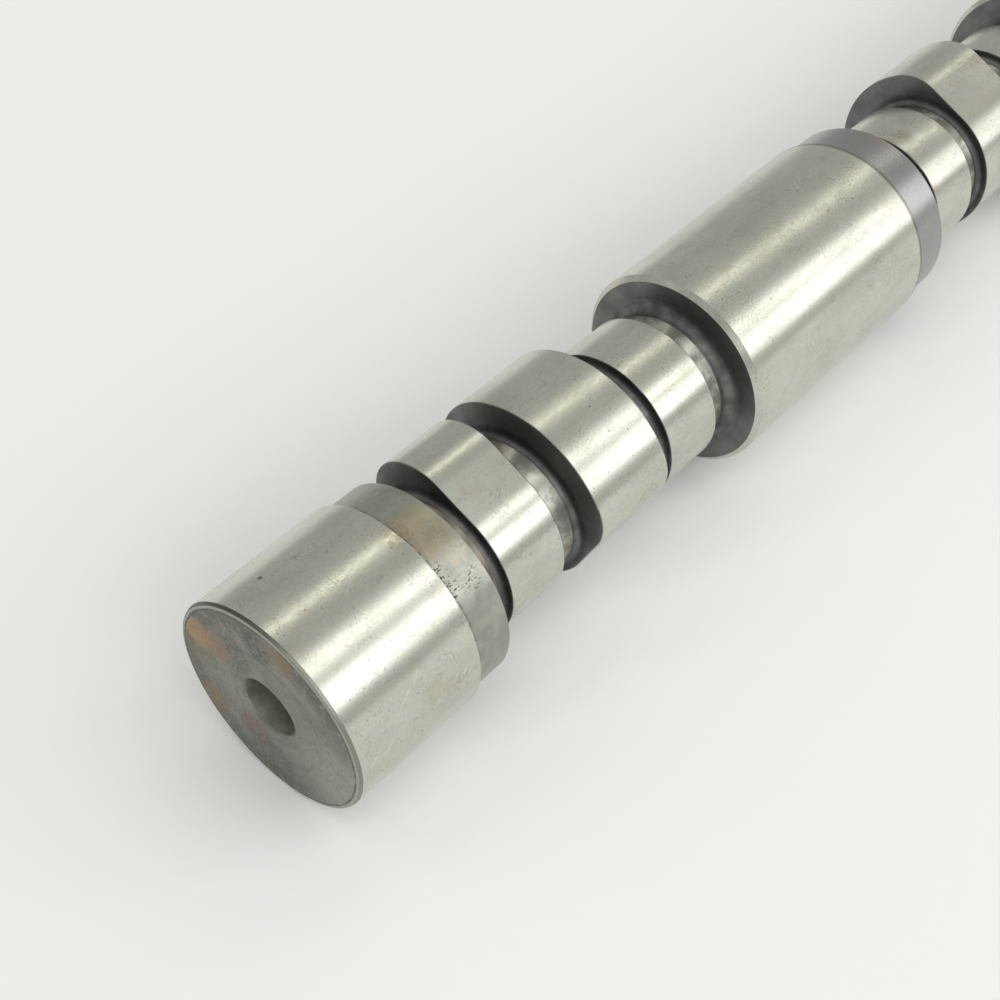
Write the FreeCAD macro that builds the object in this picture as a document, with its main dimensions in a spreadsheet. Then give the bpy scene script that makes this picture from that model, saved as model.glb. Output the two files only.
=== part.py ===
import FreeCAD, Part
import math
import os
import Sketcher
from FreeCAD import Placement, Rotation, Vector

# Camshaft of an in-line four-cylinder diesel engine with three lobes a cylinder, one forged
# and ground piece of steel. The axis lies along +X and the rear end face looks along -X.
# The origin is on the axis, at the middle of the rear bearing. Angles run from +Y towards +Z.

doc = FreeCAD.newDocument("Camshaft")

# Sizes, in mm and degrees

sizes = [
    # bearings: a ground zone and a plain band of slightly smaller radius
    ("journal_radius", 25.4),
    ("band_step", 1.3),
    ("rear_bearing_length", 34.9),
    ("rear_band_length", 10.3),
    ("bearing_length", 70.7),
    ("band_length", 11.8),
    ("rear_end_chamfer", 0.9),
    ("journal_chamfer", 1.2),
    ("cylinder_count", 4),
    # the three lobes of a cylinder and the necks beside them
    ("band_gap", 6.3),
    ("lobe_gap", 7.1),
    ("journal_gap", 8.6),
    ("neck_depth", 3.0),
    ("neck_bevel", 1.5),
    ("valve_width", 17.0),
    ("injector_width", 22.8),
    ("lobe_chamfer", 0.3),
    ("valve_base_radius", 19.0),
    ("valve_nose_radius", 13.4),
    ("valve_lift", 5.9),
    ("injector_base_step", 0.5),
    ("injector_lift", 5.5),
    ("ramp_foot_excess", 2.5),
    ("ramp_foot_angle", -65.0),
    ("ramp_top_angle", 59.0),
    ("drop_nose_radius", 11.4),
    ("drop_nose_angle", 152.5),
    ("exhaust_angle", 54.0),
    ("intake_angle", -56.0),
    # the turn of each cylinder's lobes, counted from the rear
    ("cylinder_turn_a", 0.0),
    ("cylinder_turn_b", -90.0),
    ("cylinder_turn_c", 90.0),
    ("cylinder_turn_d", 180.0),
    # the front end: a thrust land and the keyed seat of the timing gear
    ("thrust_land_radius", 22.2),
    ("thrust_land_length", 6.4),
    ("gear_seat_radius", 20.6),
    ("gear_seat_length", 42.0),
    ("gear_seat_chamfer", 1.5),
    ("keyway_width", 9.5),
    ("keyway_depth", 4.8),
    ("keyway_length", 32.0),
    # the centre holes in both ends
    ("centre_hole_radius", 7.1),
    ("centre_hole_depth", 22.0),
    ("centre_mouth_bevel", 0.6),
    ("centre_tip_length", 4.1),
]

# distances from the rear end face that follow from the sizes
stations = [
    ("band_radius", "journal_radius - band_step"),
    ("neck_radius", "valve_base_radius - neck_depth"),
    ("rear_journal_end", "rear_bearing_length + rear_band_length"),
    ("exhaust_start", "rear_journal_end + band_gap"),
    ("injector_start", "exhaust_start + valve_width + lobe_gap"),
    ("intake_start", "injector_start + injector_width + lobe_gap"),
    ("journal_start", "intake_start + valve_width + journal_gap"),
    ("journal_length", "bearing_length + band_length"),
    ("cylinder_pitch", "journal_start + journal_length - rear_journal_end"),
    ("journal_shoulder", "journal_start + bearing_length"),
    ("journal_end", "journal_start + journal_length"),
    ("front_journal_end", "rear_journal_end + cylinder_count * cylinder_pitch"),
    ("gear_seat_start", "front_journal_end + thrust_land_length"),
    ("shaft_end", "gear_seat_start + gear_seat_length"),
    ("valve_nose_offset", "valve_base_radius + valve_lift - valve_nose_radius"),
    ("injector_base_radius", "valve_base_radius + injector_base_step"),
    ("injector_top_radius", "injector_base_radius + injector_lift"),
    ("ramp_foot_radius", "injector_top_radius + ramp_foot_excess"),
    ("centre_mouth_radius", "centre_hole_radius + centre_mouth_bevel"),
    ("rear_mouth_end", "centre_mouth_bevel"),
    ("rear_hole_tip", "centre_hole_depth + centre_tip_length"),
    ("front_mouth_end", "shaft_end - rear_mouth_end"),
    ("front_hole_wall", "shaft_end - centre_hole_depth"),
    ("front_hole_tip", "front_hole_wall - centre_tip_length"),
    ("keyway_front", "shaft_end + keyway_width"),
    ("keyway_rear", "shaft_end - keyway_length + keyway_width / 2"),
]

sheet = doc.addObject("Spreadsheet::Sheet", "Sizes")
row = 1
for alias, value in sizes:
    sheet.set("A%d" % row, alias.replace("_", " "))
    sheet.set("B%d" % row, "%g" % value)
    sheet.setAlias("B%d" % row, alias)
    row += 1
for alias, formula in stations:
    sheet.set("A%d" % row, alias.replace("_", " "))
    sheet.set("B%d" % row, "=" + formula)
    sheet.setAlias("B%d" % row, alias)
    row += 1
doc.recompute()


def size(alias):
    return float(sheet.get(alias))


def origin_plane(body, role):
    for item in body.Origin.OriginFeatures:
        if item.Role == role:
            return item


def new_sketch(body, name, plane):
    sketch = body.newObject("Sketcher::SketchObject", name)
    sketch.AttachmentSupport = [(origin_plane(body, plane), "")]
    sketch.MapMode = "FlatFace"
    return sketch


def bind(sketch, kind, args, alias):
    # one driving dimension of a sketch, tied to its cell
    index = sketch.addConstraint(Sketcher.Constraint(kind, *args, size(alias)))
    sketch.setExpression("Constraints[%d]" % index, "Sizes." + alias)


def outline(body, name, plane, corners):
    # closed run of straight lines; a corner is two signed cell names, or None on an axis
    sketch = new_sketch(body, name, plane)
    points = [Vector(*[size(c) if c else 0.0 for c in corner], 0) for corner in corners]
    count = len(points)
    for i in range(count):
        sketch.addGeometry(Part.LineSegment(points[i], points[(i + 1) % count]), False)
    for i in range(count):
        sketch.addConstraint(Sketcher.Constraint("Coincident", i, 2, (i + 1) % count, 1))
    for i, (x, y) in enumerate(corners):
        if x is None and y is None:
            sketch.addConstraint(Sketcher.Constraint("Coincident", i, 1, -1, 1))
            continue
        if x is None:
            sketch.addConstraint(Sketcher.Constraint("PointOnObject", i, 1, -2))
        else:
            bind(sketch, "DistanceX", (-1, 1, i, 1), x)
        if y is None:
            sketch.addConstraint(Sketcher.Constraint("PointOnObject", i, 1, -1))
        else:
            bind(sketch, "DistanceY", (-1, 1, i, 1), y)
    return sketch


def revolve(body, name, sketch, kind="Revolution"):
    feature = body.newObject("PartDesign::" + kind, name)
    feature.Profile = sketch
    feature.ReferenceAxis = (sketch, ["H_Axis"])
    feature.Angle = 360.0
    return feature


def polar(radius, degrees):
    return Vector(radius * math.cos(math.radians(degrees)), radius * math.sin(math.radians(degrees)), 0)


def arc(centre, radius, start, end):
    circle = Part.Circle(centre, Vector(0, 0, 1), radius)
    return Part.ArcOfCircle(circle, math.radians(start), math.radians(end))


def tangent(sketch, first, first_end, second, second_end):
    sketch.addConstraint(Sketcher.Constraint("Tangent", first, first_end, second, second_end))


# Cam profiles

def valve_profile(sketch):
    # base circle and nose circle joined by two straight flanks, the nose on the sketch's x axis
    base, nose, offset = size("valve_base_radius"), size("valve_nose_radius"), size("valve_nose_offset")
    lean = math.degrees(math.acos((base - nose) / offset))
    centre = Vector(offset, 0, 0)
    sketch.addGeometry([
        arc(Vector(), base, lean, 360 - lean),
        Part.LineSegment(polar(base, -lean), centre + polar(nose, -lean)),
        arc(centre, nose, -lean, lean),
        Part.LineSegment(centre + polar(nose, lean), polar(base, lean))], False)
    sketch.addConstraint(Sketcher.Constraint("Coincident", 0, 3, -1, 1))
    sketch.addConstraint(Sketcher.Constraint("PointOnObject", 2, 3, -1))
    tangent(sketch, 0, 2, 1, 1)
    tangent(sketch, 1, 2, 2, 1)
    tangent(sketch, 2, 2, 3, 1)
    tangent(sketch, 3, 2, 0, 1)
    bind(sketch, "Radius", (0,), "valve_base_radius")
    bind(sketch, "Radius", (2,), "valve_nose_radius")
    bind(sketch, "DistanceX", (-1, 1, 2, 3), "valve_nose_offset")


def injector_profile(sketch):
    # a long dwell at full lift, a steep drop on one side and a slow ramp on the other
    base, top = size("injector_base_radius"), size("injector_top_radius")
    foot, nose = size("ramp_foot_radius"), size("drop_nose_radius")
    foot_angle, top_angle = size("ramp_foot_angle"), size("ramp_top_angle")
    drop_angle = size("drop_nose_angle")
    # the ramp's upper arc touches the dwell arc inside and the foot arc, which touches the base
    reach, margin = foot - base, foot - top
    shift = (reach ** 2 - margin ** 2) / (
        2 * margin - 2 * reach * math.cos(math.radians(top_angle - foot_angle)))
    ramp = top - shift
    ramp_centre, foot_centre = polar(shift, top_angle), polar(-reach, foot_angle)
    between = ramp_centre - foot_centre
    joint = math.degrees(math.atan2(between.y, between.x))
    nose_centre = polar(top - nose, drop_angle)
    flank = drop_angle + math.degrees(math.acos((base - nose) / (top - nose)))
    sketch.addGeometry([
        arc(Vector(), top, top_angle, drop_angle),
        arc(nose_centre, nose, drop_angle, flank),
        Part.LineSegment(nose_centre + polar(nose, flank), polar(base, flank)),
        arc(Vector(), base, flank, foot_angle + 360),
        arc(foot_centre, foot, foot_angle, joint),
        arc(ramp_centre, ramp, joint, top_angle)], False)
    for i in (0, 3):
        sketch.addConstraint(Sketcher.Constraint("Coincident", i, 3, -1, 1))
    for i in range(6):
        tangent(sketch, i, 2, (i + 1) % 6, 1)
    bind(sketch, "Radius", (0,), "injector_top_radius")
    bind(sketch, "Radius", (1,), "drop_nose_radius")
    bind(sketch, "Radius", (3,), "injector_base_radius")
    bind(sketch, "Radius", (4,), "ramp_foot_radius")
    # rays from the axis to the three tangent points carry the angles
    for point, radius, angle, alias in (
            ((0, 1), top, top_angle, "ramp_top_angle"),
            ((0, 2), top, drop_angle, "drop_nose_angle"),
            ((3, 2), base, foot_angle, "ramp_foot_angle")):
        ray = sketch.addGeometry(Part.LineSegment(Vector(), polar(radius, angle)), True)
        sketch.addConstraint(Sketcher.Constraint("Coincident", ray, 1, -1, 1))
        sketch.addConstraint(Sketcher.Constraint("Coincident", ray, 2, *point))
        index = sketch.addConstraint(Sketcher.Constraint("Angle", -1, 1, ray, 1, math.radians(angle)))
        sketch.setExpression("Constraints[%d]" % index, "Sizes.%s * 1deg" % alias)


# The shaft

body = doc.addObject("PartDesign::Body", "Shaft")
body.Label = "camshaft"
body.setExpression("Placement.Base.x", "-Sizes.rear_bearing_length / 2")

core = revolve(body, "Core", outline(body, "CoreOutline", "XZ_Plane", [
    (None, None), (None, "neck_radius"), ("front_journal_end", "neck_radius"),
    ("front_journal_end", "thrust_land_radius"), ("gear_seat_start", "thrust_land_radius"),
    ("gear_seat_start", "gear_seat_radius"), ("shaft_end", "gear_seat_radius"),
    ("shaft_end", None)]))

rear_journal = revolve(body, "RearJournal", outline(body, "RearJournalOutline", "XZ_Plane", [
    (None, None), (None, "journal_radius"), ("rear_bearing_length", "journal_radius"),
    ("rear_bearing_length", "band_radius"), ("rear_journal_end", "band_radius"),
    ("rear_journal_end", None)]))

journal = revolve(body, "Journal", outline(body, "JournalOutline", "XZ_Plane", [
    ("journal_start", None), ("journal_start", "journal_radius"),
    ("journal_shoulder", "journal_radius"), ("journal_shoulder", "band_radius"),
    ("journal_end", "band_radius"), ("journal_end", None)]))
doc.recompute()

journals = body.newObject("PartDesign::LinearPattern", "Journals")
journals.Originals = [journal]
journals.Direction = (origin_plane(body, "X_Axis"), [""])
journals.setExpression("Length", "(Sizes.cylinder_count - 1) * Sizes.cylinder_pitch")
journals.setExpression("Occurrences", "Sizes.cylinder_count")
body.Tip = journals
doc.recompute()

# The lobes: exhaust, injector and intake, from the rear of each cylinder's bay

lobe_kinds = [
    ("Exhaust", valve_profile, "valve_width", "exhaust_start", "Sizes.exhaust_angle"),
    ("Injector", injector_profile, "injector_width", "injector_start", "0"),
    ("Intake", valve_profile, "valve_width", "intake_start", "Sizes.intake_angle"),
]
turns = ["cylinder_turn_a", "cylinder_turn_b", "cylinder_turn_c", "cylinder_turn_d"]
lobe_faces = []
for cylinder in range(int(size("cylinder_count"))):
    turn = turns[cylinder % len(turns)]
    for kind, profile, width, start, angle in lobe_kinds:
        name = "%s%s" % (kind, turn[-1].upper())
        sketch = new_sketch(body, name + "Profile", "YZ_Plane")
        sketch.AttachmentOffset = Placement(Vector(), Rotation(Vector(0, 0, 1), 0))
        sketch.setExpression("AttachmentOffset.Base.z",
                             "Sizes.%s + %d * Sizes.cylinder_pitch" % (start, cylinder))
        sketch.setExpression("AttachmentOffset.Rotation.Angle", "(%s + Sizes.%s) * 1deg" % (angle, turn))
        profile(sketch)
        lobe = body.newObject("PartDesign::Pad", name)
        lobe.Profile = sketch
        lobe.setExpression("Length", "Sizes." + width)
        doc.recompute()
        rear_face = sketch.AttachmentOffset.Base.z
        lobe_faces += [rear_face, rear_face + size(width)]

# Edges: bevels where the necks meet lobes and journals, chamfers on lobes and journals


def ring_edges(shape, wanted):
    return ["Edge%d" % (i + 1) for i, edge in enumerate(shape.Edges) if wanted(edge)]


def across(edge):
    # true for an edge that lies in one plane square to the axis
    return edge.BoundBox.XLength < 1e-4


def at_radius(edge, radius):
    return (edge.Curve.TypeId == "Part::GeomCircle" and abs(edge.Curve.Radius - radius) < 1e-4
            and math.hypot(edge.Curve.Center.y, edge.Curve.Center.z) < 1e-4)


def on_lobe(edge):
    x = edge.Vertexes[0].X
    return any(abs(x - face) < 1e-4 for face in lobe_faces)


def dress(kind, name, measure, alias, wanted):
    feature = body.newObject("PartDesign::" + kind, name)
    base = body.Tip if body.Tip is not feature else feature.BaseFeature
    feature.Base = (base, ring_edges(base.Shape, wanted))
    feature.setExpression(measure, "Sizes." + alias)
    doc.recompute()
    return feature


neck = size("neck_radius")
dress("Chamfer", "NeckBevels", "Size", "neck_bevel",
      lambda e: across(e) and at_radius(e, neck) and 1 < e.Vertexes[0].X < size("front_journal_end") - 1)
dress("Chamfer", "LobeChamfers", "Size", "lobe_chamfer",
      lambda e: across(e) and on_lobe(e) and e.BoundBox.YLength + e.BoundBox.ZLength > 1e-3
      and min(math.hypot(v.Y, v.Z) for v in e.Vertexes) > neck + size("neck_bevel") + 0.01)
dress("Chamfer", "RearEndChamfer", "Size", "rear_end_chamfer",
      lambda e: across(e) and at_radius(e, size("journal_radius")) and e.Vertexes[0].X < 1e-4)
starts = [size("journal_start") + i * size("cylinder_pitch") for i in range(int(size("cylinder_count")))]
dress("Chamfer", "JournalChamfers", "Size", "journal_chamfer",
      lambda e: across(e) and at_radius(e, size("journal_radius"))
      and any(abs(e.Vertexes[0].X - s) < 1e-4 for s in starts))
dress("Chamfer", "SeatChamfer", "Size", "gear_seat_chamfer",
      lambda e: across(e) and at_radius(e, size("gear_seat_radius"))
      and abs(e.Vertexes[0].X - size("shaft_end")) < 1e-4)

# The centre holes in both ends and the keyway of the gear seat


def centre_hole(name, face, mouth, wall, tip):
    # half section of a blind hole: bevelled mouth, straight wall and drill point
    return revolve(body, name, outline(body, name + "Outline", "XZ_Plane", [
        (face, None), (face, "centre_mouth_radius"), (mouth, "centre_hole_radius"),
        (wall, "centre_hole_radius"), (tip, None)]), "Groove")


rear_hole = centre_hole("RearCentreHole", None, "rear_mouth_end", "centre_hole_depth", "rear_hole_tip")
front_hole = centre_hole("FrontCentreHole", "shaft_end", "front_mouth_end", "front_hole_wall",
                         "front_hole_tip")

slot = new_sketch(body, "KeywayOutline", "XY_Plane")
slot.setExpression("AttachmentOffset.Base.z", "Sizes.gear_seat_radius")
half, rear, front = size("keyway_width") / 2, size("keyway_rear"), size("keyway_front")
slot.addGeometry([
    Part.LineSegment(Vector(rear, -half, 0), Vector(front, -half, 0)),
    Part.LineSegment(Vector(front, -half, 0), Vector(front, half, 0)),
    Part.LineSegment(Vector(front, half, 0), Vector(rear, half, 0)),
    arc(Vector(rear, 0, 0), half, 90, 270)], False)
for i in range(2):
    slot.addConstraint(Sketcher.Constraint("Coincident", i, 2, i + 1, 1))
tangent(slot, 2, 2, 3, 1)
tangent(slot, 3, 2, 0, 1)
slot.addConstraint(Sketcher.Constraint("Horizontal", 0))
slot.addConstraint(Sketcher.Constraint("Vertical", 1))
slot.addConstraint(Sketcher.Constraint("PointOnObject", 3, 3, -1))
bind(slot, "DistanceX", (-1, 1, 3, 3), "keyway_rear")
bind(slot, "DistanceX", (-1, 1, 1, 1), "keyway_front")
bind(slot, "DistanceY", (1, 1, 1, 2), "keyway_width")
keyway = body.newObject("PartDesign::Pocket", "Keyway")
keyway.Profile = slot
keyway.setExpression("Length", "Sizes.keyway_depth")
doc.recompute()
print("keyway takes %.1f mm3" % (front_hole.Shape.Volume - keyway.Shape.Volume))

# Checks and export

for item in doc.Objects:
    if "Invalid" in item.State or "Error" in item.State:
        raise RuntimeError("%s failed: %s" % (item.Name, item.State))
solid = body.Shape
if solid.isNull() or not solid.isValid() or len(solid.Solids) != 1:
    raise RuntimeError("the shaft is not one valid solid")
print("%s: %.0f mm3, %d faces" % (body.Label, solid.Volume, len(solid.Faces)), solid.BoundBox)

os.makedirs("parts", exist_ok=True)
solid.exportStep(os.path.join("parts", body.Label + ".step"))
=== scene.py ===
import math

import bmesh
import bpy
from mathutils import Matrix, Vector


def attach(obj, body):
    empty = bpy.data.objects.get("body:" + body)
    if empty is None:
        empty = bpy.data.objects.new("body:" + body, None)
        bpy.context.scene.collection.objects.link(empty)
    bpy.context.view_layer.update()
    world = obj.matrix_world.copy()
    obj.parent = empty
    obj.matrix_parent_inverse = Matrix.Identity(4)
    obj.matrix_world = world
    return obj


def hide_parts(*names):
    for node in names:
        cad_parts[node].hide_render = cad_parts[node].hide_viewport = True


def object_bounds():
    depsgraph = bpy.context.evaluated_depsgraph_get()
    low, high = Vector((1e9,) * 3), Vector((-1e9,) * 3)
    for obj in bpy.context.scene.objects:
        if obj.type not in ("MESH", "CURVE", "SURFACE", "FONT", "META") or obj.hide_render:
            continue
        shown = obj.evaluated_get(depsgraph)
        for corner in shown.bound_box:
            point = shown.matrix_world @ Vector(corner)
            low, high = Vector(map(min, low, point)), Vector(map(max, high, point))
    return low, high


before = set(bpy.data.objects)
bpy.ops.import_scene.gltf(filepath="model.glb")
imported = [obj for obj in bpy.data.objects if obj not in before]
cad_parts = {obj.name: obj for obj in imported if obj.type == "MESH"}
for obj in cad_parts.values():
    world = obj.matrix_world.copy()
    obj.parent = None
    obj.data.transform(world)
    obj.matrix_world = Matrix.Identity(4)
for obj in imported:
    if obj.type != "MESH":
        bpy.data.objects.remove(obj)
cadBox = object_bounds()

# Camshaft with three lobes a cylinder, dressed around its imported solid. The axis lies along X
# and the rear end face looks along -X. Angles run from +Y towards +Z. Sizes in the
# dictionaries are in mm and degrees, counted from the rear end face.

mm = 0.001
tiny = 1e-7                 # m; points closer than this are one point
shaft = {
    "rearFace": round(cadBox[0][0] / mm, 2),    # where the rear end face lies along X
    "length": round((cadBox[1][0] - cadBox[0][0]) / mm, 2),
    "rearZone": (60.0, 40.0),   # marks of the rear bearing alone fade out here
    "around": 192,          # points in each ring
    "smoothAngle": 32.0,    # sharper edges than this stay sharp
    "neckRadius": 16.0,
    "neckTaper": 0.7,       # a neck is this much thinner at its rear end and wider at its front end
    "neckFillet": 1.5,      # behind each face that looks forward
    "neckCorner": 1.5,      # before each lobe's rear face
    "bearingCorner": 3.0,   # before each bearing's rear face
    "cylinders": 4,
    "pitch": 168.4,
}


# Shader helpers

class Signal:
    # one output socket; arithmetic on it adds Math nodes
    def __init__(self, finish, socket):
        self.finish = finish
        self.socket = socket

    def math(self, operation, first, second=0.0):
        return self.finish.node("ShaderNodeMath", {"operation": operation}, {0: first, 1: second})

    def __add__(self, other):
        return self.math("ADD", self, other)

    def __radd__(self, other):
        return self.math("ADD", other, self)

    def __sub__(self, other):
        return self.math("SUBTRACT", self, other)

    def __rsub__(self, other):
        return self.math("SUBTRACT", other, self)

    def __mul__(self, other):
        return self.math("MULTIPLY", self, other)

    def __rmul__(self, other):
        return self.math("MULTIPLY", other, self)

    def __mod__(self, other):
        return self.math("FLOORED_MODULO", self, other)

    def __abs__(self):
        return self.math("ABSOLUTE", self)

    def ramp(self, low, high):
        # 0 below low and 1 above high, eased between; low may lie above high
        return self.finish.node("ShaderNodeMapRange", {"interpolation_type": "SMOOTHSTEP"},
                                {"Value": self, "From Min": low, "From Max": high})


class Finish:
    # a material and the nodes that make it; lengths in it are in mm
    def __init__(self, name):
        self.material = bpy.data.materials.new(name)
        self.material.use_nodes = True
        self.tree = self.material.node_tree
        self.tree.nodes.clear()
        self.place = self.node("ShaderNodeVectorMath", {"operation": "SCALE"}, {
            0: self.node("ShaderNodeTexCoord", {}, {}, "Object"), "Scale": 1 / mm})

    def node(self, kind, settings, sockets, output=0):
        made = self.tree.nodes.new(kind)
        for key, value in settings.items():
            setattr(made, key, value)
        for key, value in sockets.items():
            if isinstance(value, Signal):
                self.tree.links.new(value.socket, made.inputs[key])
            else:
                made.inputs[key].default_value = value
        return Signal(self, made.outputs[output])

    def stretched(self, along, across):
        # object coordinates, with one scale along the axis and one across it
        return self.node("ShaderNodeVectorMath", {"operation": "MULTIPLY"},
                         {0: self.place, 1: (along, across, across)})

    def slanted(self, scales, degrees):
        # object coordinates turned about X and Z, for marks that run across the shaft
        return self.node("ShaderNodeMapping", {}, {
            "Vector": self.place, "Scale": scales,
            "Rotation": (math.radians(degrees), 0.0, math.radians(degrees))})

    def noise(self, vector, detail, roughness):
        return self.node("ShaderNodeTexNoise", {}, {
            "Vector": vector, "Scale": 1.0, "Detail": detail, "Roughness": roughness})

    def blend(self, amount, first, second):
        return self.node("ShaderNodeMix", {"data_type": "RGBA"}, {0: amount, 6: first, 7: second}, 2)

    def along(self):
        # distance along the axis from the middle of the rear bearing
        return self.node("ShaderNodeSeparateXYZ", {}, {0: self.place}, "X")

    def rearOnly(self):
        # 1 on the rear bearing and 0 on all that lies beyond the first lobe
        return self.along().ramp(*shaft["rearZone"])

    def sinceStep(self, first):
        # distance along the axis behind the last of the places that repeat with each cylinder
        return (self.along() - (shaft["rearFace"] + first)) % shaft["pitch"]

    def radius(self):
        # distance from the axis
        return self.node("ShaderNodeVectorMath", {"operation": "LENGTH"},
                         {0: self.stretched(0.0, 1.0)}, "Value")

    def distance(self, point):
        return self.node("ShaderNodeVectorMath", {"operation": "DISTANCE"},
                         {0: self.place, 1: point}, "Value")

    def patch(self, place, size, ragged, core):
        # 1 within the core's share of the size around a place, 0 outside the ragged edge
        return (self.distance(place) + ragged).ramp(size, size * core)

    def nearLine(self, start, stop):
        # distance from the straight line between two points
        start = Vector(start)
        run = Vector(stop) - start
        way = run.normalized()
        away = self.node("ShaderNodeVectorMath", {"operation": "SUBTRACT"},
                         {0: self.place, 1: start})
        reach = self.node("ShaderNodeVectorMath", {"operation": "DOT_PRODUCT"},
                          {0: away, 1: way}, "Value")
        reach = self.node("ShaderNodeClamp", {}, {0: reach, "Min": 0.0, "Max": run.length})
        foot = self.node("ShaderNodeVectorMath", {"operation": "SCALE"}, {0: way, "Scale": reach})
        return self.node("ShaderNodeVectorMath", {"operation": "DISTANCE"},
                         {0: away, 1: foot}, "Value")

    def bump(self, height, strength, distance):
        return self.node("ShaderNodeBump", {}, {
            "Height": height, "Strength": strength, "Distance": distance * mm})

    def alongAxis(self):
        # grinding runs round the axis, so highlights are drawn out along it
        return self.node("ShaderNodeCombineXYZ", {}, {"X": 1.0})

    def shade(self, sockets):
        shader = self.node("ShaderNodeBsdfPrincipled", {}, sockets)
        output = self.tree.nodes.new("ShaderNodeOutputMaterial")
        self.tree.links.new(shader.socket, output.inputs["Surface"])
        return self.material


def grey(value, warmth=1.0):
    # steel grey; at warmth 1 it has the faint yellow-green of oiled ground steel
    return (value * (1 - 0.025 * warmth), value, value * (1 - 0.13 * warmth), 1.0)


def tint(red, green, blue):
    return (red, green, blue, 1.0)


# Finishes: the places of marks are in mm on the finished shaft, as it lies

groundLook = {
    "colour": grey(0.63), "shade": grey(0.55), "smudge": tint(0.49, 0.43, 0.33),
    "grain": grey(0.36), "dirt": grey(0.26), "speck": grey(0.15), "scratch": grey(0.80),
    "stain": tint(0.34, 0.26, 0.15), "roughness": 0.25, "stretch": 0.4, "marks": 0.045,
    "pitAt": (-7.3, 9.6, 23.5), "pitSize": 0.7,
    "seamBack": 0.5,        # a thin dark line lies this far behind the end of the ground zone
    # stains on the rear bearing and on the first lobe past the second one: place, radius
    "stains": [
        ((16.2, -3.6, 24.9), 4.5), ((202.8, -1.7, 18.9), 1.8), ((202.8, -6.5, 17.9), 2.2),
        ((202.9, -15.0, 11.7), 3.0), ((219.8, -2.3, 18.9), 2.8), ((219.8, -6.2, 18.0), 2.6),
        ((207.5, -2.0, 18.9), 4.2),
    ],
    # long faint scratches on the rear bearing: from, to
    "scratches": [
        ((2.3, -22.4, 12.0), (-9.9, -25.4, 1.3)),
        ((-0.9, -23.2, 10.3), (-14.0, -25.4, 1.4)),
        ((13.3, -25.0, 4.6), (4.5, -23.1, -10.6)),
    ],
}


def groundSteel():
    # bearing zones and cam tracks: ground round the axis, with faint clouds and fine scratches
    look = groundLook
    finish = Finish("groundSteel")
    clouds = finish.noise(finish.stretched(0.06, 0.16), 4, 0.6)
    grinding = finish.noise(finish.stretched(3.2, 0.06), 3, 0.6)
    streaks = finish.noise(finish.stretched(0.03, 0.9), 3, 0.55)
    grain = finish.noise(finish.stretched(1.1, 1.1), 4, 0.7)
    fine = finish.noise(finish.stretched(2.6, 1.6), 3, 0.7)
    specks = finish.noise(finish.stretched(0.9, 0.9), 1, 0.5).ramp(0.76, 0.8)
    smudges = finish.noise(finish.stretched(0.11, 0.11), 5, 0.65).ramp(0.55, 0.75)
    dirty = finish.noise(finish.stretched(0.16, 0.2), 3, 0.6).ramp(0.5, 0.66)
    colour = finish.blend(clouds.ramp(0.35, 0.7), look["colour"], look["shade"])
    colour = finish.blend(smudges * 0.55, colour, look["smudge"])
    colour = finish.blend(grain.ramp(0.35, 0.75) * 0.22 + fine.ramp(0.45, 0.7) * 0.2,
                          colour, look["grain"])
    colour = finish.blend(fine.ramp(0.5, 0.64) * dirty * 0.5, colour, look["dirt"])

    stains = 0.0
    for place, size in look["stains"]:
        stains = finish.patch(place, size, (grain - 0.5) * size * 1.7, 0.25) + stains
    colour = finish.blend(stains * (0.15 + grain.ramp(0.4, 0.6) * 0.5), colour, look["stain"])
    pit = finish.patch(look["pitAt"], look["pitSize"], (grain - 0.5) * 1.2, 0.57)
    colour = finish.blend(specks * 0.6 + pit * 0.9, colour, look["speck"])

    # the dark line is on all bearings but the rear one; the step itself is half a pitch in
    half = shaft["pitch"] / 2
    step = finish.sinceStep(journals["start"] + journals["ground"] - half) - half
    seam = abs(step + look["seamBack"]).ramp(0.8, 0.35) * (1.0 - finish.rearOnly())
    colour = finish.blend(seam * 0.75, colour, look["speck"])

    scratches = 0.0
    for start, stop in look["scratches"]:
        scratches = (finish.nearLine(start, stop) + (grain - 0.5) * 0.5).ramp(0.45, 0.15) + scratches
    colour = finish.blend(scratches * grain.ramp(0.3, 0.6) * 0.6, colour, look["scratch"])
    height = grinding * 0.5 + streaks * 0.7 + grain * 0.12 + fine * 0.05 - scratches * 1.5
    return finish.shade({
        "Base Color": colour, "Metallic": 1.0,
        "Roughness": look["roughness"] + (clouds - 0.5) * 0.12 + (grain - 0.5) * 0.10,
        "Anisotropic": look["stretch"], "Tangent": finish.alongAxis(),
        "Normal": finish.bump(height, look["marks"], 0.05)})


bandLook = {
    "colour": grey(0.34, 0.0), "roughness": 0.28,
    # the rear band is stained, and its greys are these
    "rearColour": grey(0.43), "rearShade": grey(0.31), "blot": grey(0.24), "shoulder": grey(0.12),
    "rust": tint(0.40, 0.34, 0.25), "rustAt": (196.0, -2.5, 23.8), "rustSize": 4.0,
    # stains on the rear band and the step beside it: place, radius, colour, strength
    "stains": [
        ((21.2, -5.5, 23.5), 8.0, tint(0.38, 0.31, 0.20), 1.0),
        ((16.8, -3.1, 24.8), 4.8, tint(0.22, 0.17, 0.10), 0.8),
        ((26.7, -1.9, 24.0), 4.2, tint(0.36, 0.36, 0.24), 0.6),
        ((24.5, -12.5, 20.6), 3.4, tint(0.48, 0.41, 0.31), 0.6),
    ],
    # short pits: their grey, the middles of the places that have them, and how far they reach
    "pit": grey(0.06), "pitReach": (3.6, 1.0),
    "pitsAt": [(18.2, -12.6, 21.3), (18.2, -15.2, 19.4), (18.0, -17.6, 17.4), (23.6, -17.2, 17.0)],
}


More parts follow.
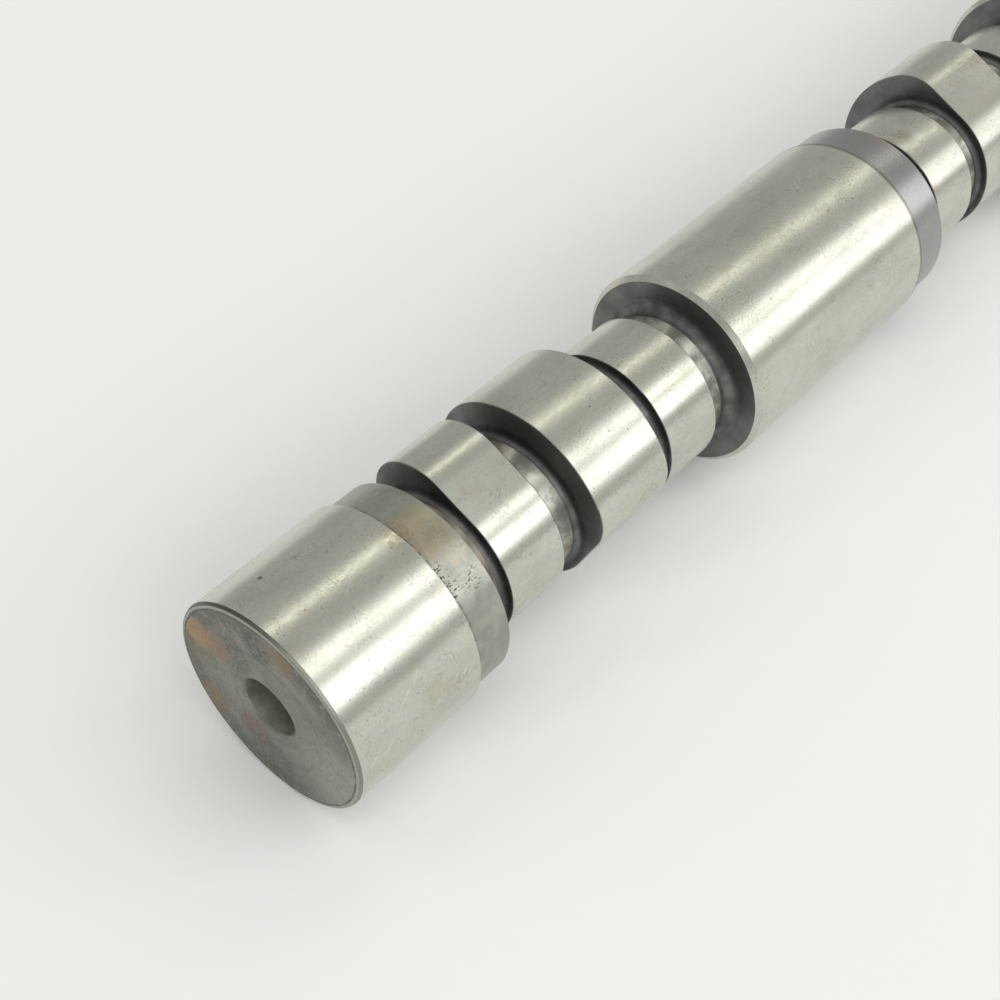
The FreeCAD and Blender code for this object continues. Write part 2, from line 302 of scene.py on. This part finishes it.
def plainBand():
    # the unground band beside each bearing: duller, stained and pitted at the rear one
    look = bandLook
    finish = Finish("plainBand")
    clouds = finish.noise(finish.stretched(0.12, 0.12), 5, 0.65)
    grain = finish.noise(finish.stretched(1.6, 0.9), 4, 0.7)
    blots = finish.noise(finish.stretched(0.5, 0.5), 4, 0.7)
    scraped = finish.noise(finish.stretched(1.7, 0.8), 5, 0.75).ramp(0.4, 0.62)
    rear = finish.rearOnly()
    colour = finish.blend(clouds.ramp(0.3, 0.75), look["rearColour"], look["rearShade"])
    colour = finish.blend(rear, look["colour"], colour)
    colour = finish.blend(blots.ramp(0.35, 0.7) * 0.35 * rear, colour, look["blot"])

    ragged = (blots - 0.5) * 5.0 + (grain - 0.5) * 2.0
    for place, size, tone, strength in look["stains"]:
        stain = finish.patch(place, size, ragged, 0.6) * (0.25 + scraped * 0.75)
        colour = finish.blend(stain * strength, colour, tone)
    rust = finish.patch(look["rustAt"], look["rustSize"], ragged, 0.0)
    colour = finish.blend(rust * 0.8, colour, look["rust"])

    # dirt lies along the foot of the step
    foot = shaft["rearFace"] + journals["firstGround"] + 0.55
    shoulder = abs(finish.along() - foot).ramp(1.0, 0.2) * (0.1 + blots.ramp(0.42, 0.6) * 0.6)
    colour = finish.blend(shoulder, colour, look["shoulder"])

    # pits run in two crossing directions
    strokes = finish.noise(finish.slanted((0.7, 2.6, 2.6), 35.0), 2, 0.6).ramp(0.60, 0.66)
    crossing = finish.noise(finish.slanted((2.4, 0.8, 2.4), -50.0), 2, 0.6).ramp(0.61, 0.67)
    near = 0.0
    for place in look["pitsAt"]:
        near = finish.distance(place).ramp(*look["pitReach"]) + near
    pits = (strokes + crossing) * near
    colour = finish.blend(pits * 0.75, colour, look["pit"])
    rough = (grain - 0.5) * (0.1 + rear * 0.15) + rear * 0.08 + pits * 0.3
    return finish.shade({
        "Base Color": colour, "Metallic": 1.0, "Roughness": look["roughness"] + rough,
        "Normal": finish.bump(grain * (0.12 + rear * 1.58) - pits * 1.5, 0.3, 0.08)})


sideLook = {
    "colour": grey(0.25, 0.0), "shade": grey(0.17, 0.1), "roughness": 0.42,
    # painted shade darkens the corner where a face meets the neck, out to this radius
    "corner": grey(0.08, 0.3), "cornerRadius": 19.9, "cornerFade": 1.2,
}


def darkSide():
    # side faces of lobes and bearings, turned and left dark
    look = sideLook
    finish = Finish("darkSide")
    clouds = finish.noise(finish.stretched(0.15, 0.15), 4, 0.6)
    turning = finish.noise(finish.node("ShaderNodeCombineXYZ", {}, {"X": finish.radius() * 2.2}),
                           3, 0.6)
    # painted shade in the rounded corner by the neck, which also dims its sheen
    corner = finish.radius().ramp(look["cornerRadius"], look["cornerRadius"] - look["cornerFade"])
    colour = finish.blend(clouds.ramp(0.3, 0.75), look["colour"], look["shade"])
    colour = finish.blend(corner * (0.35 + clouds.ramp(0.35, 0.6) * 0.4), colour, look["corner"])
    rough = corner * 0.06 + (clouds - 0.5) * 0.2 + (turning - 0.5) * 0.1
    return finish.shade({
        "Base Color": colour, "Metallic": 1.0, "Roughness": look["roughness"] + rough,
        "Normal": finish.bump(turning, 0.12, 0.05)})


neckLook = {
    "colour": grey(0.52), "shade": grey(0.32), "stain": tint(0.34, 0.25, 0.14), "roughness": 0.32,
    "gapShade": grey(0.14), "gapShadeFrom": (7.0, 12.0),    # mm behind a bearing
    "darkNeck": (38.0, 34.0),                       # the neck next to the rear bearing is darker
}


def neckSteel():
    # the turned necks between the lobes, with oil stains and painted shade
    look = neckLook
    finish = Finish("neckSteel")
    clouds = finish.noise(finish.stretched(0.2, 0.2), 4, 0.6)
    blots = finish.noise(finish.stretched(0.09, 0.14), 3, 0.6)
    turning = finish.noise(finish.stretched(2.4, 0.05), 3, 0.6)
    colour = finish.blend(clouds.ramp(0.3, 0.75), look["colour"], look["shade"])
    colour = finish.blend(blots.ramp(0.56, 0.66) * 0.6, colour, look["stain"])
    # oil has dried in the corners of the first neck behind each bearing
    behind = finish.sinceStep(journals["firstEnd"])
    corners = behind.ramp(2.4, 0.6) + abs(behind - 5.0).ramp(1.8, 0.4)
    colour = finish.blend(corners * clouds.ramp(0.36, 0.54) * 0.85, colour, look["stain"])
    # painted shade, in blotches, darkens the necks between the lobes
    gapShade = behind.ramp(*look["gapShadeFrom"]) * (0.3 + clouds.ramp(0.38, 0.58) * 0.4)
    colour = finish.blend(gapShade, colour, look["gapShade"])
    # painted shade darkens the neck in the gap beside the rear bearing
    colour = finish.blend(finish.along().ramp(*look["darkNeck"]) * 0.75, colour, look["gapShade"])
    return finish.shade({
        "Base Color": colour, "Metallic": 1.0,
        "Roughness": look["roughness"] + (clouds - 0.5) * 0.15,
        "Normal": finish.bump(turning, 0.2, 0.05)})


endLook = {
    "colour": grey(0.275), "shade": grey(0.195), "dark": tint(0.13, 0.13, 0.11), "roughness": 0.40,
    "grain": grey(0.11), "fine": grey(0.42),
    # a lighter place and the rim: its radius, its grey, the dark line and where the rim is darkest
    "light": grey(0.38), "lightAt": (-19.0, -8.0), "lightSize": 17.0,
    "rimRadius": 24.2, "rim": grey(0.42), "line": grey(0.08), "darkRimAt": (12.0, 22.0),
    # darker, dirty places and then rust: place on the rear face, radius, colour, strength
    "marks": [
        ((19.5, -7.6), 7.0, tint(0.13, 0.13, 0.11), 0.65),
        ((16.4, -16.0), 7.5, tint(0.13, 0.13, 0.11), 0.65),
        ((1.2, -17.8), 7.5, tint(0.12, 0.12, 0.10), 0.7),
        ((8.8, 10.6), 6.4, tint(0.11, 0.11, 0.09), 0.9),
        ((0.5, 19.1), 4.8, tint(0.07, 0.07, 0.06), 0.85),
        ((19.9, 2.7), 6.0, tint(0.17, 0.16, 0.08), 0.9),
        ((19.6, 8.8), 5.2, tint(0.47, 0.29, 0.11), 1.0),
        ((14.0, 8.7), 4.8, tint(0.32, 0.16, 0.09), 1.0),
        ((17.4, -11.3), 5.0, tint(0.24, 0.17, 0.07), 0.95),
        ((5.3, -11.4), 5.4, tint(0.21, 0.10, 0.10), 0.85),
        ((-2.5, 22.2), 3.2, tint(0.33, 0.24, 0.24), 0.6),
        ((-6.5, 20.2), 4.0, tint(0.27, 0.20, 0.09), 0.9),
    ],
}


def onRearFace(place):
    return (shaft["rearFace"], *place)


def endSteel():
    # the end faces: faced and dull, the rear one with mottling, dirt and rust
    look = endLook
    finish = Finish("endSteel")
    clouds = finish.noise(finish.stretched(0.2, 0.2), 5, 0.65)
    grain = finish.noise(finish.stretched(1.2, 1.2), 4, 0.7)
    blots = finish.noise(finish.stretched(0.45, 0.45), 4, 0.7)
    fine = finish.noise(finish.stretched(2.8, 2.8), 3, 0.7)
    rings = finish.noise(finish.node("ShaderNodeCombineXYZ", {}, {
        "X": finish.radius() * 0.55, "Y": clouds * 0.8}), 3, 0.6)
    rear = finish.rearOnly()
    fromLight = finish.distance(onRearFace(look["lightAt"]))
    colour = finish.blend(clouds.ramp(0.3, 0.75), look["colour"], look["shade"])
    colour = finish.blend(rings.ramp(0.5, 0.68) * 0.5 * rear, colour, look["dark"])
    colour = finish.blend(fromLight.ramp(look["lightSize"], 4.0) * rear * 0.7, colour, look["light"])
    colour = finish.blend(blots.ramp(0.52, 0.62) * 0.3 * rear, colour, look["dark"])
    edge = (finish.radius() + (blots - 0.5) * 8.0).ramp(17.5, 22.0) * blots.ramp(0.34, 0.5)
    colour = finish.blend(edge * fromLight.ramp(8.0, 26.0) * 0.95 * rear, colour, look["dark"])

    ragged = (blots - 0.5) * 6.0 + (grain - 0.5) * 2.0
    texture = 0.15 + blots.ramp(0.42, 0.56) * 0.35 + grain.ramp(0.44, 0.56) * 0.5
    for place, size, tone, strength in look["marks"]:
        mark = finish.patch(onRearFace(place), size, ragged, 0.7) * texture
        colour = finish.blend(mark * strength * rear, colour, tone)
    colour = finish.blend(grain.ramp(0.56, 0.66) * 0.55, colour, look["grain"])
    colour = finish.blend(fine.ramp(0.5, 0.7) * 0.4, colour, look["fine"])

    out = finish.radius() + (blots - 0.5) * 0.5 + (grain - 0.5) * 0.3
    rim = out.ramp(look["rimRadius"], look["rimRadius"] + 0.3)
    colour = finish.blend(rim * rear * 0.85, colour, look["rim"])
    line = abs(out - look["rimRadius"]).ramp(0.35, 0.1) * (0.4 + blots.ramp(0.4, 0.55) * 0.5)
    shadow = 0.4 + finish.distance(onRearFace(look["darkRimAt"])).ramp(24.0, 10.0) * 0.5
    outer = finish.radius().ramp(24.8, 25.1) * shadow
    colour = finish.blend((line + outer) * rear, colour, look["line"])
    return finish.shade({
        "Base Color": colour, "Metallic": 1.0,
        "Roughness": look["roughness"] + (grain - 0.5) * 0.2,
        "Normal": finish.bump(grain + blots + rings * 0.5, 0.25, 0.08)})


holeLook = {
    # the pale greys are painted light on the walls; deepShade is painted shade further in
    "colour": grey(0.66), "shade": grey(0.40), "deepShade": grey(0.20), "roughness": 0.5,
    "deepFrom": (4.6, 11.6),    # mm in from the end face
}


def holeSteel():
    # inside the centre holes: pale greys as painted light, darkening inwards as painted shade
    look = holeLook
    finish = Finish("holeSteel")
    clouds = finish.noise(finish.stretched(0.3, 0.3), 4, 0.6)
    half = shaft["length"] / 2
    inwards = half - abs(finish.along() - (shaft["rearFace"] + half))
    colour = finish.blend(clouds.ramp(0.3, 0.75), look["colour"], look["shade"])
    # painted shade deeper in the hole
    colour = finish.blend(inwards.ramp(*look["deepFrom"]), colour, look["deepShade"])
    return finish.shade({"Base Color": colour, "Metallic": 1.0, "Roughness": look["roughness"]})


# places in the list of finishes, for the building below
ground, band, side, neck, end, hole = range(6)


# Building along the axis

def radiusAt(section, angle):
    return section(angle) if callable(section) else section


def quarterCircle(steps):
    # distances of its points from the two straight lines that a rounded corner joins
    for i in range(1, steps + 1):
        t = math.pi / 2 * i / steps
        yield 1 - math.sin(t), 1 - math.cos(t)


def placeRing(verts, x, section):
    # all points go to x, and those of the ring onto the section
    for v in verts:
        v.co.x = (shaft["rearFace"] + x) * mm
        if math.hypot(v.co.y, v.co.z) > tiny:
            angle = math.atan2(v.co.z, v.co.y)
            r = radiusAt(section, math.degrees(angle)) * mm
            v.co.yz = (r * math.cos(angle), r * math.sin(angle))


class Turned:
    # a closed solid made ring by ring along the axis
    def __init__(self, name, start, radius, finish):
        self.name = name
        self.bm = bmesh.new()
        self.rounds = {}
        made = bmesh.ops.create_circle(self.bm, cap_ends=True, cap_tris=True,
                                       segments=shaft["around"], radius=1.0)
        rim = [v for v in made["verts"] if v.co.length > 0.5]
        self.ring = [e for e in self.bm.edges if all(v in rim for v in e.verts)]
        for face in self.bm.faces:
            face.material_index = finish
        for v in made["verts"]:
            v.co = Vector((0, v.co.x, v.co.y))
        placeRing(made["verts"], start, radius)

    def to(self, x, section, finish, rounding=None):
        # the next ring; the faces up to it take the finish, its own edge takes the rounding
        made = bmesh.ops.extrude_edge_only(self.bm, edges=self.ring)["geom"]
        for item in made:
            if isinstance(item, bmesh.types.BMFace):
                item.material_index = finish
        verts = [item for item in made if isinstance(item, bmesh.types.BMVert)]
        there = set(verts)
        self.ring = [e for e in made if isinstance(e, bmesh.types.BMEdge)
                     and e.verts[0] in there and e.verts[1] in there]
        placeRing(verts, x, section)
        if rounding:
            self.rounds.setdefault(rounding, []).extend(self.ring)

    def close(self, finish):
        cap = bmesh.ops.extrude_edge_only(self.bm, edges=self.ring)["geom"]
        verts = [item for item in cap if isinstance(item, bmesh.types.BMVert)]
        for item in cap:
            if isinstance(item, bmesh.types.BMFace):
                item.material_index = finish
        centre = Vector((verts[0].co.x, 0, 0))
        bmesh.ops.pointmerge(self.bm, verts=verts, merge_co=centre)

    def finishUp(self):
        for (offset, segments, finish), edges in self.rounds.items():
            edges = [e for e in edges if e.is_valid]
            made = bmesh.ops.bevel(self.bm, geom=edges, offset=offset * mm, offset_type="OFFSET",
                                   affect="EDGES", segments=segments, profile=0.5, material=-1,
                                   clamp_overlap=False)
            for face in made["faces"]:
                face.material_index = finish
        bmesh.ops.remove_doubles(self.bm, verts=self.bm.verts, dist=tiny)
        bmesh.ops.recalc_face_normals(self.bm, faces=self.bm.faces)
        for face in self.bm.faces:
            face.smooth = True
        mesh = bpy.data.meshes.new(self.name)
        self.bm.to_mesh(mesh)
        self.bm.free()
        for material in finishes:
            mesh.materials.append(material)
        mesh.set_sharp_from_angle(angle=math.radians(shaft["smoothAngle"]))
        piece = bpy.data.objects.new(self.name, mesh)
        bpy.context.scene.collection.objects.link(piece)
        return piece


def dress(piece):
    # normals follow the large faces, so that highlights run straight between narrow edges
    weighted = piece.modifiers.new("normals", "WEIGHTED_NORMAL")
    weighted.mode = "FACE_AREA"
    weighted.weight = 80
    weighted.keep_sharp = True
    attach(piece, "root")
    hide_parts("camshaft")
    print(piece.name, len(piece.data.polygons), "faces")


# Cam sections

lobes = {
    "baseRadius": 19.0, "noseRadius": 13.4, "lift": 5.9, "width": 17.0,
    "injectorBase": 19.5, "injectorTop": 25.0, "injectorWidth": 22.8,
    "rampFoot": 27.5, "rampFootAngle": -65.0, "rampTopAngle": 59.0,
    "dropNose": 11.4, "dropNoseAngle": 152.5,
    "exhaustAngle": 54.0, "intakeAngle": -56.0,
    "turns": (0.0, -90.0, 90.0, 180.0),     # of each cylinder, from the rear
    "exhaustStart": 6.6, "injectorStart": 30.4, "intakeStart": 60.9, "length": 85.9,
    "edge": (0.25, 2, side),                # rounding of an edge: size, segments, finish
}


def onCircle(offset, radius, angle):
    # distance from the axis to a circle whose centre lies at this offset, at this angle from it
    return offset * math.cos(angle) + math.sqrt(radius ** 2 - (offset * math.sin(angle)) ** 2)


def valveSection(turn):
    # a base circle and a nose circle joined by straight flanks
    base, nose = lobes["baseRadius"], lobes["noseRadius"]
    offset = base + lobes["lift"] - nose
    lean = math.acos((base - nose) / offset)
    noseEnd = math.atan2(nose * math.sin(lean), offset + nose * math.cos(lean))

    def section(degrees):
        angle = abs(math.radians((degrees - turn + 180) % 360 - 180))
        if angle < noseEnd:
            return onCircle(offset, nose, angle)
        return base / math.cos(lean - angle) if angle < lean else base
    return section


def injectorSection(turn):
    # a long dwell at full lift, a steep drop on one side and a slow ramp on the other
    base, top, foot, nose = (lobes[k] for k in ("injectorBase", "injectorTop", "rampFoot", "dropNose"))
    footAngle, topAngle, dropAngle = (
        math.radians(lobes[k]) for k in ("rampFootAngle", "rampTopAngle", "dropNoseAngle"))
    reach, margin = foot - base, foot - top
    shift = (reach ** 2 - margin ** 2) / (2 * margin - 2 * reach * math.cos(topAngle - footAngle))
    rampCentre = Vector((shift * math.cos(topAngle), shift * math.sin(topAngle)))
    footCentre = Vector((-reach * math.cos(footAngle), -reach * math.sin(footAngle)))
    joint = footCentre + foot * (rampCentre - footCentre).normalized()
    flank = dropAngle + math.acos((base - nose) / (top - nose))
    noseCentre = (top - nose) * Vector((math.cos(dropAngle), math.sin(dropAngle)))
    noseEnd = noseCentre + nose * Vector((math.cos(flank), math.sin(flank)))
    full = 2 * math.pi
    jointAt, noseEndAt = (math.atan2(p.y, p.x) % full for p in (joint, noseEnd))

    def section(degrees):
        angle = math.radians(degrees - turn)
        along = (angle - footAngle) % full
        if along < (jointAt - footAngle) % full:
            return onCircle(-reach, foot, angle - footAngle)
        if along < topAngle - footAngle:
            return onCircle(shift, top - shift, angle - topAngle)
        if along < dropAngle - footAngle:
            return top
        if along < (noseEndAt - footAngle) % full:
            return onCircle(top - nose, nose, angle - dropAngle)
        if along < flank - footAngle:
            return base / math.cos(angle - flank)
        return base
    return section


def neckTo(bay, wall, corner):
    # a neck widens towards the next face and meets it in a rounded corner as dark as the face
    wide = shaft["neckRadius"] + shaft["neckTaper"]
    bay.to(wall - corner, wide, neck)
    for before, above in quarterCircle(8):
        bay.to(wall - corner * before, wide + corner * above, side)


def lobeBay(number):
    # the necks and three lobes of one cylinder, between two bearings
    start = journals["firstEnd"] + (number - 1) * shaft["pitch"]
    turn = lobes["turns"][number - 1]
    narrow, fillet = shaft["neckRadius"] - shaft["neckTaper"], shaft["neckFillet"]
    bay = Turned("lobes_%d" % number, start, narrow + fillet, side)
    # the first ring lies in the bearing's face, so its fillet is shaped here
    for above, behind in quarterCircle(4):
        bay.to(start + fillet * behind, narrow + fillet * above, neck)
    for kind, width in (("exhaust", "width"), ("injector", "injectorWidth"), ("intake", "width")):
        near = start + lobes[kind + "Start"]
        far = near + lobes[width]
        if kind == "injector":
            section = injectorSection(turn)
        else:
            section = valveSection(turn + lobes[kind + "Angle"])
        neckTo(bay, near, shaft["neckCorner"])
        bay.to(near, section, side, lobes["edge"])
        bay.to(far, section, ground, lobes["edge"])
        bay.to(far, narrow, side, (fillet, 4, neck))
    neckTo(bay, start + lobes["length"], shaft["bearingCorner"])
    bay.close(side)
    return bay.finishUp()


# Journals

journals = {
    "radius": 25.4, "bandRadius": 24.1,
    "firstGround": 34.9, "firstEnd": 45.2,      # the rear bearing: end of its ground zone and band
    "start": 131.1, "ground": 70.7, "band": 11.8,   # the second one; the others follow the pitch
    "rearChamfer": (0.9, 2, end), "chamfer": (1.2, 1, ground), "bandEdge": (0.4, 2, band),
    "step": (0.3, 2, ground),
}
centreHole = {
    "radius": 7.1, "mouth": 7.7, "depth": 22.0, "tip": 4.1, "tipRadius": 0.2, "edge": (0.2, 2, end),
}


def rearJournal():
    # from the bottom of the centre hole out over the end face and on to the front
    body = Turned("journal_1", centreHole["depth"] + centreHole["tip"], centreHole["tipRadius"], hole)
    body.to(centreHole["depth"], centreHole["radius"], hole)
    body.to(centreHole["mouth"] - centreHole["radius"], centreHole["radius"], hole)
    body.to(0, centreHole["mouth"], end, centreHole["edge"])
    body.to(0, journals["radius"], end, journals["rearChamfer"])
    body.to(journals["firstGround"], journals["radius"], ground, journals["step"])
    body.to(journals["firstGround"], journals["bandRadius"], band)
    body.to(journals["firstEnd"], journals["bandRadius"], band, journals["bandEdge"])
    body.to(journals["firstEnd"], shaft["neckRadius"], side)
    body.close(side)
    return body.finishUp()


def journal(number):
    start = journals["start"] + (number - 2) * shaft["pitch"]
    shoulder = start + journals["ground"]
    stop = shoulder + journals["band"]
    body = Turned("journal_%d" % number, start, shaft["neckRadius"], side)
    body.to(start, journals["radius"], side, journals["chamfer"])
    body.to(shoulder, journals["radius"], ground, journals["step"])
    body.to(shoulder, journals["bandRadius"], band)
    body.to(stop, journals["bandRadius"], band, journals["bandEdge"])
    body.to(stop, shaft["neckRadius"], side)
    body.close(side)
    return body.finishUp()


# Gear seat

gearSeat = {
    "landRadius": 22.2, "landLength": 6.4, "radius": 20.6, "length": 42.0,
    "chamfer": (1.5, 1, ground), "landEdge": (0.4, 2, ground),
    "keyWidth": 9.5, "keyDepth": 4.8, "keyLength": 32.0,
    "cutterHeight": 10.0, "cutterAround": 48,
}


def frontEnd():
    start = journals["firstEnd"] + shaft["cylinders"] * shaft["pitch"]
    land = start + gearSeat["landLength"]
    face = land + gearSeat["length"]
    body = Turned("gear_seat", start, shaft["neckRadius"], side)
    body.to(start, gearSeat["landRadius"], side)
    body.to(land, gearSeat["landRadius"], ground, gearSeat["landEdge"])
    body.to(land, gearSeat["radius"], side)
    body.to(face, gearSeat["radius"], ground, gearSeat["chamfer"])
    body.to(face, centreHole["mouth"], end, centreHole["edge"])
    body.to(face - centreHole["mouth"] + centreHole["radius"], centreHole["radius"], hole)
    body.to(face - centreHole["depth"], centreHole["radius"], hole)
    body.to(face - centreHole["depth"] - centreHole["tip"], centreHole["tipRadius"], hole)
    body.close(hole)
    piece = body.finishUp()

    # the keyway: a slot with a round rear end, cut from above
    cutter = bmesh.new()
    half = gearSeat["keyWidth"] / 2
    made = bmesh.ops.create_circle(cutter, cap_ends=True, segments=gearSeat["cutterAround"],
                                   radius=half * mm)
    centre = shaft["rearFace"] + face - gearSeat["keyLength"] + half
    for v in made["verts"]:
        if v.co.x > tiny:
            v.co.x = (gearSeat["keyLength"] + half) * mm
            v.co.y = math.copysign(half * mm, v.co.y)
    bmesh.ops.remove_doubles(cutter, verts=cutter.verts, dist=tiny)
    top = bmesh.ops.extrude_face_region(cutter, geom=cutter.faces[:])["geom"]
    bmesh.ops.translate(cutter, verts=[v for v in top if isinstance(v, bmesh.types.BMVert)],
                        vec=(0, 0, gearSeat["cutterHeight"] * mm))
    bmesh.ops.translate(cutter, verts=cutter.verts, vec=(
        centre * mm, 0, (gearSeat["radius"] - gearSeat["keyDepth"]) * mm))
    bmesh.ops.recalc_face_normals(cutter, faces=cutter.faces)
    mesh = bpy.data.meshes.new("keywayCutter")
    cutter.to_mesh(mesh)
    cutter.free()
    tool = bpy.data.objects.new("keywayCutter", mesh)
    bpy.context.scene.collection.objects.link(tool)
    mesh.materials.append(finishes[side])
    cut = piece.modifiers.new("keyway", "BOOLEAN")
    cut.object = tool
    cut.operation = "DIFFERENCE"
    cut.solver = "EXACT"
    graph = bpy.context.evaluated_depsgraph_get()
    result = bpy.data.meshes.new_from_object(piece.evaluated_get(graph))
    piece.modifiers.clear()
    piece.data = result
    bpy.data.objects.remove(tool)
    result.set_sharp_from_angle(angle=math.radians(shaft["smoothAngle"]))
    return piece


finishes = [groundSteel(), plainBand(), darkSide(), neckSteel(), endSteel(), holeSteel()]
print("finishes made:", len(finishes))

dress(rearJournal())
for number in range(1, shaft["cylinders"] + 1):
    dress(lobeBay(number))
    dress(journal(number + 1))
dress(frontEnd())


# Studio: pale floor, soft light and the camera

studio = {
    "floor": tint(0.925, 0.93, 0.925), "floorRoughness": 0.8,
    "floorReach": 6.0, "floorMiddle": 0.4,      # m
    "world": tint(0.50, 0.50, 0.49), "worldStrength": 1.0,
    # name, centre, way its long side runs, width and length in m, brightness, colour
    "panels": [
        ("tube", (2.0, 0.56, 2.6), (0.9, -0.44), (0.22, 9.0), 2.5, (1.0, 0.98, 0.84)),
        ("ceiling", (2.5, -2.0, 2.6), (0.9, -0.44), (0.66, 9.0), 1.8, (1.0, 1.0, 0.97)),
        ("window", (3.0, -3.97, 2.1), (1.0, -0.28), (1.75, 12.0), 1.6, (0.99, 0.99, 1.0)),
        ("fill", (3.4, -4.4, 3.0), (1.0, -0.2), (4.2, 12.0), 0.25, (1.0, 1.0, 0.99)),
    ],
}


def makeFloor():
    bm = bmesh.new()
    bmesh.ops.create_grid(bm, x_segments=1, y_segments=1, size=studio["floorReach"])
    bmesh.ops.translate(bm, verts=bm.verts,
                        vec=(studio["floorMiddle"], 0, -journals["radius"] * mm))
    mesh = bpy.data.meshes.new("floor")
    bm.to_mesh(mesh)
    bm.free()
    finish = Finish("paleFloor")
    mesh.materials.append(finish.shade({
        "Base Color": studio["floor"], "Roughness": studio["floorRoughness"]}))
    floor = bpy.data.objects.new("floor", mesh)
    bpy.context.scene.collection.objects.link(floor)


def makeLights():
    world = bpy.data.worlds.new("studio")
    world.use_nodes = True
    background = world.node_tree.nodes["Background"]
    background.inputs["Color"].default_value = studio["world"]
    background.inputs["Strength"].default_value = studio["worldStrength"]
    bpy.context.scene.world = world
    for name, centre, run, (width, length), brightness, colour in studio["panels"]:
        light = bpy.data.lights.new(name, "AREA")
        light.shape = "RECTANGLE"
        light.size = width
        light.size_y = length
        light.energy = brightness * math.pi * width * length
        light.color = colour
        panel = bpy.data.objects.new(name, light)
        panel.location = centre
        # the long side lies level and the panel faces the shaft
        long = Vector((*run, 0)).normalized()
        back = (Vector(centre) - long * Vector(centre).dot(long)).normalized()
        panel.rotation_euler = Matrix((long.cross(back), long, back)).transposed().to_euler()
        panel.visible_camera = False
        bpy.context.scene.collection.objects.link(panel)


view = {
    "place": (-0.1319, -0.1616, 0.2664), "tilt": 43.09, "pan": -48.68,
    "lens": 59.44, "sensor": 36.0, "nearest": 0.01,
}


def makeCamera():
    camera = bpy.data.cameras.new("photoView")
    camera.lens = view["lens"]
    camera.sensor_width = view["sensor"]
    camera.clip_start = view["nearest"]
    holder = bpy.data.objects.new("photoView", camera)
    holder.location = view["place"]
    holder.rotation_euler = (math.radians(view["tilt"]), 0, math.radians(view["pan"]))
    bpy.context.scene.collection.objects.link(holder)
    bpy.context.scene.camera = holder


makeFloor()
makeLights()
makeCamera()
bpy.context.scene.view_settings.view_transform = "Standard"
print("studio ready")
